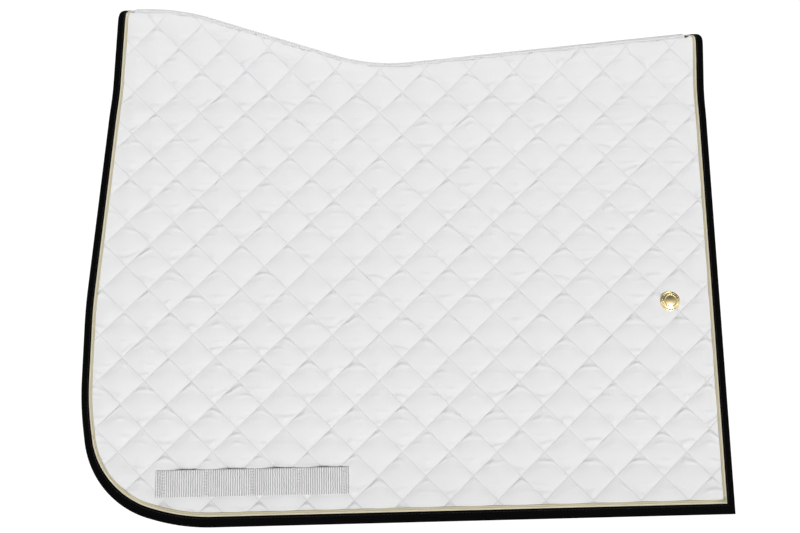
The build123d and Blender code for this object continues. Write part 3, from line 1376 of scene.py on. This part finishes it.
    def stitch_lines(self) -> list:
        """Lines of quilting on both faces, in place.

        Returns:
            Each unbroken line's points.
        """
        corner = self.to_lattice(self.form.loop)
        low, high = np.floor(corner.min(axis=0)), np.ceil(corner.max(axis=0))
        lines = []
        for way in (0, 1):
            along = np.arange(low[1 - way], high[1 - way], 0.1)
            for number in np.arange(low[way], high[way] + 1):
                counts = np.empty((len(along), 2))
                counts[:, way], counts[:, 1 - way] = number, along
                points = self.from_lattice(counts)
                shown = distance_inside(points, self.form.loop) > 0.0105
                shown &= points[:, 1] - self.form.seam(points[:, 0]) > 0.0085
                breaks = np.flatnonzero(np.diff(shown.astype(int))) + 1
                for run, keep in zip(np.split(points, breaks), np.split(shown, breaks)):
                    if keep[0] and len(run) > 2:
                        height = self.rest_height(run) + 0.0001
                        lines += [self.form.place(*run.T, height), self.form.place(*run.T, -height)]
        return lines

    def stitch(self) -> bpy.types.Object:
        """Sew the quilting through both faces."""
        thread = run_repeat(
            f"{self.form.side.prefix}_quilting_stitches",
            Repeat.STITCH,
            self.stitch_lines(),
            Finish.WHITE_THREAD,
            {"Pitch": 0.0038, "Length": 0.0029, "Thickness": 0.0004},
        )
        self.form.ride(thread)
        return thread


# ---------------------------------------------------------------- edge trim


@dataclass
class EdgeTrim:
    """Binding folded round the free edge of a half, and the two cords of piping inside it.

    Attributes:
        form: Shape of the half.
        side_width: Width of the binding's outer leg on the front and rear edges.
        hem_width: The same on the hem.
        inner_width: Width of the leg on the lining.
        half: Half the thickness of the bound edge.
        cloth: Thickness of the binding.
        proud: How far the folded binding stands out past the pattern's edge.
        cord_radius: Radius of each cord on the front and rear edges.
        hem_cord_radius: The same on the hem.
        cord_height: Middle of the cords above the pad's middle surface.
        legs: Outline of a leg of the binding: share of its width, and how far it stands
            up from flat in millimetres, with the dip that the stitches pull in.
        stitch_share: Where the stitches are, as a share of a leg's width.
        stitch_sink: Depth of the stitches' middle below the leg's face.
    """

    form: PadForm
    side_width: float = 0.0068
    hem_width: float = 0.0088
    inner_width: float = 0.0075
    half: float = 0.0036
    cloth: float = 0.0007
    proud: float = 0.0011
    cord_radius: float = 0.0008
    hem_cord_radius: float = 0.00098
    cord_height: float = 0.0030
    legs: tuple = (
        (1.0, -0.35), (0.95, -0.12), (0.84, -0.10), (0.78, -0.42), (0.72, -0.10), (0.6, 0.0)
    )
    stitch_share: float = 0.78
    stitch_sink: float = 0.00035
    run_share: np.ndarray = field(init=False)
    ridges: tuple = field(init=False)

    def __post_init__(self) -> None:
        """Find which runs of the edge belong to the hem, and the spine's direction at its ends."""
        edge = self.form.edge
        runs = np.diff(edge, axis=0)
        level = np.abs(runs[:, 0]) / np.linalg.norm(runs, axis=1)
        middle = 0.5 * (edge[1:, 1] + edge[:-1, 1])
        self.run_share = np.where(middle > 0.3, smoothstep(level), 0.0)
        ends = edge[[0, -1], 0]
        step = 0.001
        either_side = (self.form.seam(np.array([x - step, x + step])) for x in ends)
        self.ridges = tuple((2 * step, float(after - before)) for before, after in either_side)

    def blend_sizes(self, at_side: float, at_hem: float) -> np.ndarray:
        """A size for each run of the edge, between its side and hem values."""
        return at_side + (at_hem - at_side) * self.run_share

    def sections(self, profile: list) -> np.ndarray:
        """Sections of a band along the edge.

        Args:
            profile: One (insets, height) for each corner; insets has a value for each run.

        Returns:
            Array of station, corner, and x, y, z.
        """
        corners = []
        for insets, height in profile:
            insets = np.broadcast_to(insets, len(self.run_share))
            moved = inward_offsets(self.form.edge, insets, self.ridges)
            corners.append(self.form.place(*moved.T, height))
        return np.stack(corners, axis=1)

    def lengths(self) -> np.ndarray:
        """Distance of each station along the edge."""
        steps = np.linalg.norm(np.diff(self.form.edge, axis=0), axis=1)
        return np.append(0, np.cumsum(steps))

    def add_band(self, name: str, profile: list, finish: Finish, slot: str) -> bpy.types.Object:
        """Make one band along the edge.

        Args:
            name: The piece's name without its side.
            profile: As for sections.
            finish: Its finish.
            slot: Passed on to dress.

        Returns:
            The piece.
        """
        sections = self.sections(profile)
        points, quads = sweep_sections(sections)
        band = make_object(f"{self.form.side.prefix}_{name}", points, quads)
        girth = np.linalg.norm(sections - np.roll(sections, 1, axis=1), axis=2).mean(axis=0)
        around = np.cumsum(girth) - girth[0]
        along = self.lengths()
        u, v = np.meshgrid(along, around, indexing="ij")
        set_pattern_uv(band, np.column_stack([u.ravel(), v.ravel()]))
        dress(band, finish, slot)
        self.form.ride(band)
        return band

    def binding_profile(self) -> list:
        """Corners of the binding: its outside from leg to leg, then its inside back again."""
        outer = self.blend_sizes(self.side_width, self.hem_width)
        skins = []
        for skin in (0.0, self.cloth):
            half = self.half - skin
            points = [(outer * share, half + 0.001 * rise) for share, rise in self.legs]
            turns = np.linspace(math.pi / 2, -math.pi / 2, 9)
            bulge = self.half - self.proud
            points += [(bulge - half * math.cos(a), half * math.sin(a)) for a in turns]
            points += [
                (self.inner_width * share, -half - 0.001 * rise) for share, rise in self.legs[::-1]
            ]
            skins.append(points)
        return skins[0] + skins[1][::-1]

    def cord_profile(self, number: float) -> list:
        """Corners of a cord, whose middle is number radii in from the binding's leg."""
        outer = self.blend_sizes(self.side_width, self.hem_width)
        radius = self.blend_sizes(self.cord_radius, self.hem_cord_radius)
        corners = []
        for a in np.linspace(0, 2 * math.pi, 9)[:-1]:
            insets = outer + radius * (number + 1.02 * math.cos(a))
            corners.append((insets, self.cord_height + self.cord_radius * math.sin(a)))
        return corners

    def stitch_lines(self) -> list:
        """The line that sews each leg of the binding."""
        outer = self.blend_sizes(self.side_width, self.hem_width)
        height = self.half - self.stitch_sink
        seams = (
            (self.stitch_share * outer, height),
            (self.stitch_share * self.inner_width, -height),
        )
        return [self.sections([seam])[:, 0] for seam in seams]

    def build(self) -> list:
        """Make the binding, its stitches and the piping.

        Returns:
            The pieces.
        """
        prefix = self.form.side.prefix
        bands = (
            ("edge_binding", self.binding_profile(), Finish.BINDING, "black_binding", "binding"),
            ("cream_cord", self.cord_profile(1.0), Finish.CREAM, "cream_cord", "cream_piping"),
            ("beige_cord", self.cord_profile(3.0), Finish.BEIGE, "beige_cord", "beige_piping"),
        )
        pieces = []
        for *details, part in bands:
            piece = self.add_band(*details)
            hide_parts(f"{prefix}_{part}", *(f"{end.value}_crown_{part}" for end in End))
            pieces.append(piece)
        thread = run_repeat(
            f"{prefix}_binding_stitches",
            Repeat.STITCH,
            self.stitch_lines(),
            Finish.BLACK_THREAD,
            {"Pitch": 0.0032, "Length": 0.0025, "Thickness": 0.0004},
        )
        self.form.ride(thread)
        return [*pieces, thread]


# ---------------------------------------------------------------- spine tapes


@dataclass
class SpineTapes:
    """Ribbed tape over the spine seam and plain tape under it, sewn along both edges.

    Attributes:
        form: Shape of the left half, whose crown the tapes follow.
        wrap: How far each tape wraps down from the top, in degrees.
        end_gap: Distance of the tapes' ends from the pad's ends.
        rib_pitch: Distance between ribs.
        rib_thickness: Thickness of a rib.
        rib_height: Middle of the ribs above the cloth's middle surface.
        outer_face: Height of the ribbed tape's face above it.
        inner_face: Depth of the seam tape's face below it.
        bedded: How near to the middle surface both tapes reach into the cloth.
        stitch_lift: How far the stitches' middle stands off the tapes.
    """

    form: PadForm
    wrap: float = 36.0
    end_gap: float = 0.0096
    rib_pitch: float = 0.0026
    rib_thickness: float = 0.0017
    rib_height: float = 0.0043
    outer_face: float = 0.0041
    inner_face: float = 0.0042
    bedded: float = 0.0012
    stitch_lift: float = 0.0002

    def arc(self, x: float, n: float, count: int) -> np.ndarray:
        """Points across the spine at x, at height n, from the left side to the right."""
        phi = np.radians(np.linspace(90 - self.wrap, 90, count))
        s = -self.form.leg(x) - phi * self.form.hinge_out
        left = self.form.place(x, s, n)
        right = left[-2::-1] * np.array([1, -1, 1])
        return np.vstack([left, right])

    def reach(self) -> tuple:
        """First and last x of the tapes."""
        edge = self.form.edge
        return edge[0, 0] + self.end_gap, edge[-1, 0] - self.end_gap

    def band(
        self, name: str, low: float, high: float, finish: Finish, slot: str
    ) -> bpy.types.Object:
        """Make one tape.

        Args:
            name: The piece's name.
            low: Height of its inner face above the cloth's middle surface.
            high: Height of its outer face.
            finish: Its finish.
            slot: Passed on to dress.

        Returns:
            The tape.
        """
        count = 9
        stations = np.arange(*self.reach(), 0.004)
        sections = []
        for x in stations:
            sections.append(np.vstack([self.arc(x, high, count), self.arc(x, low, count)[::-1]]))
        sections = np.array(sections)
        points, quads = sweep_sections(sections)
        tape = make_object(name, points, quads)
        around = np.linspace(0, 1, sections.shape[1]) * 4 * math.radians(self.wrap) * 0.0142
        u, v = np.meshgrid(stations, around, indexing="ij")
        set_pattern_uv(tape, np.column_stack([u.ravel(), v.ravel()]))
        dress(tape, finish, slot)
        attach(tape, CROWN)
        return tape

    def build(self) -> list:
        """Make both tapes, the ribs of the outer one and its stitches.

        Returns:
            The pieces.
        """
        outer = self.band(
            "spine_ribbed_tape", self.bedded, self.outer_face, Finish.SPINE_TAPE, "ribbed_tape"
        )
        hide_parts("spine_tape")
        inner = self.band(
            "spine_seam_tape", -self.inner_face, -self.bedded, Finish.SEAM_TAPE, "seam_tape"
        )
        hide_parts("inner_seam_tape")
        first, last = self.reach()
        places = np.arange(first + self.rib_pitch, last - self.rib_pitch, self.rib_pitch)
        ribs = run_repeat(
            "spine_tape_ribs",
            Repeat.TUBE,
            [self.arc(x, self.rib_height, 5) for x in places],
            Finish.WHITE_THREAD,
            {"Thickness": self.rib_thickness},
        )
        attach(ribs, CROWN)
        edges = []
        for height in (self.outer_face + self.stitch_lift, -self.inner_face - self.stitch_lift):
            arcs = np.array([self.arc(x, height, 9) for x in np.arange(first, last, 0.004)])
            edges += [arcs[:, 1], arcs[:, -2]]
        thread = run_repeat(
            "spine_tape_stitches",
            Repeat.STITCH,
            edges,
            Finish.WHITE_THREAD,
            {"Pitch": 0.0033, "Length": 0.0026, "Thickness": 0.0004},
        )
        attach(thread, CROWN)
        return [outer, inner, ribs, thread]


# ---------------------------------------------------------------- girth strap


@dataclass
class GirthStrap:
    """Webbing sewn at its tacks, with a loop between each two rows for the girth straps.

    Attributes:
        form: Shape of the half.
        start: Pattern place of the first row of tacks.
        rise: How many degrees the strap climbs to the rear.
        width: Width of the webbing.
        cloth: Thickness of the webbing.
        pitch: Distance between rows of tacks.
        loops: Number of loops.
        sewn: Half the length that is sewn flat at a row.
        bulge: Outside of a loop above the cover.
        cover: Height of the cover's face.
        rib_pitch: Distance between ribs.
        rib_depth: Depth of the grooves between them.
        tail: Webbing past the first and the last row.
        softness: How gently the webbing leaves the cover.
        tack_share: Half the length of a row of tacks, as a share of the width.
        tack_swing: How far its thread swings to each side.
        tack_turns: Points of its zigzag.
        tack_apart: How far each of a row's two lines of tacks is from its middle.
        start_tack: Place of the extra line of tacks at the front.
    """

    form: PadForm
    start: tuple = (-0.2156, 0.3975)
    rise: float = 1.2
    width: float = 0.025
    cloth: float = 0.0012
    pitch: float = 0.0435
    loops: int = 4
    sewn: float = 0.0025
    bulge: float = 0.0034
    cover: float = 0.0038
    rib_pitch: float = 0.0021
    rib_depth: float = 0.00045
    tail: float = 0.0042
    softness: float = 0.0004
    tack_share: float = 0.46
    tack_swing: float = 0.0009
    tack_turns: int = 17
    tack_apart: float = 0.0012
    start_tack: float = 0.0038

    def pattern(self, along: np.ndarray, across: np.ndarray) -> np.ndarray:
        """Pattern points of places along and across the strap."""
        turn = math.radians(self.rise)
        along, across = np.broadcast_arrays(along, across)
        x = self.start[0] + along * math.cos(turn) + across * math.sin(turn)
        s = self.start[1] - along * math.sin(turn) + across * math.cos(turn)
        return np.stack([x, s], axis=-1)

    def rows(self) -> list:
        """Ends of each row of tacks, in the pattern."""
        half = self.tack_share * self.width
        return [
            tuple(tuple(self.pattern(k * self.pitch, side)) for side in (-half, half))
            for k in range(self.loops + 1)
        ]

    def height(self, along: np.ndarray) -> np.ndarray:
        """Height of the webbing's middle above the cover."""
        half = self.pitch / 2 - self.sewn
        radius = (half**2 + self.bulge**2) / (2 * self.bulge)
        phase = np.mod(along, self.pitch) - self.pitch / 2
        inside = (along > 0) & (along < self.loops * self.pitch)
        arc = np.sqrt(np.maximum((radius - self.cloth / 2) ** 2 - phase**2, 0))
        arc = np.where(inside, arc + self.bulge - radius, 0.0)
        flat = self.cloth / 2
        return flat + np.logaddexp(0, (arc - flat) / self.softness) * self.softness

    def webbing(self) -> bpy.types.Object:
        """Weave the strap: flat ribs across a band that rises at each loop."""
        fine = np.linspace(-self.tail, self.loops * self.pitch + self.tail, 4000)
        line = np.column_stack([fine, self.height(fine)])
        walked = np.append(0, np.cumsum(np.linalg.norm(np.diff(line, axis=0), axis=1)))
        walk = np.arange(0, walked[-1], self.rib_pitch / 4)
        along = np.interp(walk, walked, fine)
        middle = self.height(along)
        step = 1e-5
        slope = (self.height(along + step) - self.height(along - step)) / (2 * step)
        size = np.sqrt(1 + slope**2)
        uneven = np.random.default_rng(7).uniform(0.55, 1.25, int(walk[-1] / self.rib_pitch) + 2)
        rib = np.floor(walk / self.rib_pitch).astype(int)
        wave = 0.5 + 0.5 * np.cos(2 * math.pi * walk / self.rib_pitch)
        groove = self.rib_depth * uneven[rib] * wave
        shares = np.array([-0.5, -0.47, -0.3, -0.1, 0.1, 0.3, 0.47, 0.5])
        sections = []
        girth = []
        for face in (1, -1):
            for share in shares[::face]:
                thick = self.cloth / 2 * (0.45 if abs(share) == 0.5 else 1.0)
                lift = face * (thick - (groove if face > 0 else 0.3 * groove))
                at = along - slope / size * lift
                spot = self.pattern(at, share * self.width)
                n = self.cover + middle + lift / size
                sections.append(self.form.place(*spot.T, n))
                girth.append(share * self.width)
        sections = np.stack(sections, axis=1)
        points, quads = sweep_sections(sections)
        strap = make_object(f"{self.form.side.prefix}_webbing_strap", points, quads)
        u, v = np.meshgrid(walk, np.array(girth), indexing="ij")
        set_pattern_uv(strap, np.column_stack([v.ravel(), u.ravel() - self.rib_pitch / 4]))
        dress(strap, Finish.WEBBING, "white_webbing")
        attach(strap, self.form.side.body)
        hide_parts(f"{self.form.side.prefix}_girth_strap")
        return strap

    def zigzag(self, along: float) -> np.ndarray:
        """Thread of one row of tacks, as points in place."""
        half = self.tack_share * self.width
        across = np.linspace(-half, half, self.tack_turns)
        swing = np.where(np.arange(self.tack_turns) % 2 == 0, -self.tack_swing, self.tack_swing)
        spot = self.pattern(along + swing, across)
        return self.form.place(*spot.T, self.cover + self.cloth + 0.0001)

    def build(self) -> list:
        """Make the webbing and its tacks.

        Returns:
            The pieces.
        """
        strap = self.webbing()
        rows = [
            self.zigzag(k * self.pitch + shift)
            for k in range(self.loops + 1)
            for shift in (-self.tack_apart, self.tack_apart)
        ]
        rows.append(self.zigzag(self.start_tack))
        tacks = run_repeat(
            f"{self.form.side.prefix}_tack_thread",
            Repeat.TUBE,
            rows,
            Finish.WHITE_THREAD,
            {"Thickness": 0.0008},
        )
        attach(tacks, self.form.side.body)
        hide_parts(f"{self.form.side.prefix}_strap_tacks")
        return [strap, tacks]


# ---------------------------------------------------------------- badge


@dataclass
class Badge:
    """Plain domed badge with a raised ring and a row of beads.

    Attributes:
        form: Shape of the left half.
        place: Pattern place of its middle.
        radius: Radius of the dome.
        base: Height of the dome's foot above the pad's middle surface.
        rise: Height of the dome.
        sides: Divisions round the dome.
        fullness: How far round the dome curves down at its foot, up to 1.
        bead_share: Radius of the ring of beads, as a share of the dome's.
    """

    form: PadForm
    place: tuple = (0.2717, 0.2225)
    radius: float = 0.009
    base: float = 0.0046
    rise: float = 0.0026
    sides: int = 72
    fullness: float = 0.92
    bead_share: float = 0.86

    def ring(self, radius: float, height: float, count: int) -> np.ndarray:
        """Points of a circle round the badge's middle."""
        a = np.linspace(0, 2 * math.pi, count, endpoint=False)
        x = self.place[0] + radius * np.cos(a)
        s = self.place[1] + radius * np.sin(a)
        return self.form.place(x, s, self.base + height)

    def cap(self) -> bpy.types.Object:
        """Turn the dome, with its raised ring and flat foot."""
        share = np.array(
            [0.02, 0.2, 0.4, 0.56, 0.62, 0.66, 0.70, 0.74, 0.80, 0.88, 0.95, 0.99, 1.0]
        )
        height = self.rise * np.sqrt(1 - self.fullness * share**2)
        height += 0.00035 * np.exp(-(((share - 0.68) / 0.035) ** 2))
        profile = [(self.radius * r, h) for r, h in zip(share, height)]
        profile += [(self.radius, 0.0), (0.9 * self.radius, 0.0), (0.02 * self.radius, 0.0)]
        sections = np.stack([self.ring(r, h, self.sides) for r, h in profile])
        points, quads = sweep_sections(sections)
        dome = make_object("badge_dome", points, quads)
        dress(dome, Finish.GOLD, "gold_metal")
        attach(dome, self.form.side.body)
        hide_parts("badge_cap")
        return dome

    def beads(self) -> bpy.types.Object:
        """Set a ring of beads round the foot of the dome."""
        radius = self.bead_share * self.radius
        height = self.rise * math.sqrt(1 - self.fullness * self.bead_share**2)
        circle = self.ring(radius, height, 120)
        beads = run_repeat(
            "badge_beads",
            Repeat.STITCH,
            [np.vstack([circle, circle[:1]])],
            Finish.GOLD,
            {"Pitch": 0.0013, "Length": 0.0009, "Thickness": 0.0008},
        )
        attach(beads, self.form.side.body)
        return beads

    def build(self) -> list:
        """Make the badge's visible metal and dress the parts that hold it.

        Returns:
            The pieces made here.
        """
        for name, finish in (
            ("badge_rim", Finish.GOLD),
            ("badge_post", Finish.PLAIN_METAL),
            ("badge_washer", Finish.PLAIN_METAL),
        ):
            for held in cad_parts[name].material_slots:
                held.material = finish.material()
        return [self.cap(), self.beads()]


# ---------------------------------------------------------------- studio


@dataclass(frozen=True)
class SoftLight:
    """A square light of the studio.

    Attributes:
        name: Its name.
        place: Where it hangs.
        turn: Its direction, as Euler degrees.
        power: Power in watts.
        size: Width and height.
    """

    name: str
    place: tuple
    turn: tuple
    power: float
    size: float = 1.4

    def hang(self) -> None:
        """Hang the light in the scene."""
        lamp = bpy.data.lights.new(self.name, "AREA")
        lamp.shape = "SQUARE"
        lamp.size = self.size
        lamp.energy = self.power
        thing = bpy.data.objects.new(self.name, lamp)
        thing.location = self.place
        thing.rotation_euler = [math.radians(a) for a in self.turn]
        bpy.context.scene.collection.objects.link(thing)


@dataclass
class Studio:
    """Pale floor, soft light and the camera.

    Attributes:
        eye: Where the camera stands.
        lens: Focal length in millimetres, on a 36 mm sensor.
        floor_z: Height of the floor.
        floor_half: Half the floor's width.
        key_strength: Strength of the main light.
        key_rise: How far above level it shines from, in degrees.
        key_turn: How far to the rear side it shines from, in degrees.
        key_spread: Its width as seen from the pad, in degrees.
        lights: The soft lights beside it.
    """

    eye: tuple = (0.010, -1.294, -0.1976)
    lens: float = 57.3
    floor_z: float = -0.75
    floor_half: float = 1.15
    key_strength: float = 2.82
    key_rise: float = -9.0
    key_turn: float = 8.0
    key_spread: float = 22.0
    lights: tuple = (
        SoftLight("Top light", (0.0, 0.3, 1.3), (0, 0, 0), 16.0),
        SoftLight("Back light", (0.2, 1.8, 0.3), (-80, 0, 0), 12.0),
    )

    def key_light(self) -> None:
        """Shine the main light level at the near side, so far off that it lights it evenly."""
        lamp = bpy.data.lights.new("Key light", "SUN")
        lamp.energy = self.key_strength
        lamp.angle = math.radians(self.key_spread)
        thing = bpy.data.objects.new("Key light", lamp)
        thing.rotation_euler = (math.radians(90 - self.key_rise), 0, math.radians(self.key_turn))
        bpy.context.scene.collection.objects.link(thing)

    def floor(self) -> None:
        """Lay the pale floor."""
        half = self.floor_half
        corners = [(-half, -half), (half, -half), (half, half), (-half, half)]
        slab = make_object("floor", [(x, y, self.floor_z) for x, y in corners], [(0, 1, 2, 3)])
        material, sheet, shader = new_material("Pale floor", {"Roughness": 0.9})
        grain = shared_group(sheet, soft_wear_group, {"Scale": 3.0, "Contrast": 0.4})
        tint = sheet.mix(grain.outputs["Mask"], (0.86, 0.86, 0.86, 1), (0.90, 0.90, 0.90, 1))
        sheet.tree.links.new(tint, shader.inputs["Base Color"])
        slab.data.materials.append(material)

    def sky(self) -> None:
        """Surround the set with even white light."""
        world = bpy.data.worlds.new("Studio")
        world.use_nodes = True
        sheet = NodeSheet(world.node_tree)
        path = sheet.add("ShaderNodeLightPath")
        way = sheet.add("ShaderNodeTexCoord")
        upward = sheet.add("ShaderNodeSeparateXYZ", {0: way.outputs["Generated"]}).outputs[2]
        mirrored = sheet.add(
            "ShaderNodeMapRange",
            {"Value": upward, "From Min": 0.05, "From Max": 0.5, "To Min": 1.0, "To Max": 0.12},
        ).outputs[0]
        dim = sheet.add("ShaderNodeBackground", {0: (1, 1, 1, 1), 1: 0.15})
        glow = sheet.add("ShaderNodeBackground", {0: (1, 1, 1, 1), 1: mirrored})
        bright = sheet.add("ShaderNodeBackground", {0: (1, 1, 1, 1), 1: 1.1})
        lit = sheet.add(
            "ShaderNodeMixShader",
            {0: path.outputs["Is Glossy Ray"], 1: dim.outputs[0], 2: glow.outputs[0]},
        )
        both = sheet.add(
            "ShaderNodeMixShader",
            {0: path.outputs["Is Camera Ray"], 1: lit.outputs[0], 2: bright.outputs[0]},
        )
        sheet.add("ShaderNodeOutputWorld", {0: both.outputs[0]})
        bpy.context.scene.world = world

    def camera(self) -> None:
        """Set the camera level, facing the near flap."""
        lens = bpy.data.cameras.new("Camera")
        lens.lens = self.lens
        lens.sensor_width = 36.0
        lens.clip_start = 0.05
        thing = bpy.data.objects.new("Camera", lens)
        thing.location = self.eye
        thing.rotation_euler = (math.pi / 2, 0, 0)
        bpy.context.scene.collection.objects.link(thing)
        bpy.context.scene.camera = thing

    def build(self) -> None:
        """Set up the whole studio."""
        self.floor()
        self.sky()
        self.key_light()
        for light in self.lights:
            light.hang()
        self.camera()
        bpy.context.scene.view_settings.view_transform = "Standard"


def report(pieces: list) -> None:
    """Log each piece's name and size in faces."""
    for piece in pieces:
        LOG.info("%s: %d faces", piece.name, len(piece.data.polygons))


def main() -> None:
    """Build the saddle pad and the studio."""
    logging.basicConfig(level=logging.INFO, format="%(name)s: %(message)s")
    forms = {side: PadForm(side) for side in Side}
    sheets = QuiltedPad(forms[Side.LEFT]).make_sheets()
    for side, form in forms.items():
        strap = GirthStrap(form)
        badge = Badge(form)
        badge_place = badge.place if side is Side.LEFT else None
        pad = QuiltedPad(form, badge=badge_place, strap_rows=strap.rows())
        report([pad.build(sheets), pad.stitch()])
        report(EdgeTrim(form).build())
        report(strap.build())
        if side is Side.LEFT:
            report(SpineTapes(form).build())
            report(badge.build())
    Studio().build()


if __name__ == "__main__":
    main()
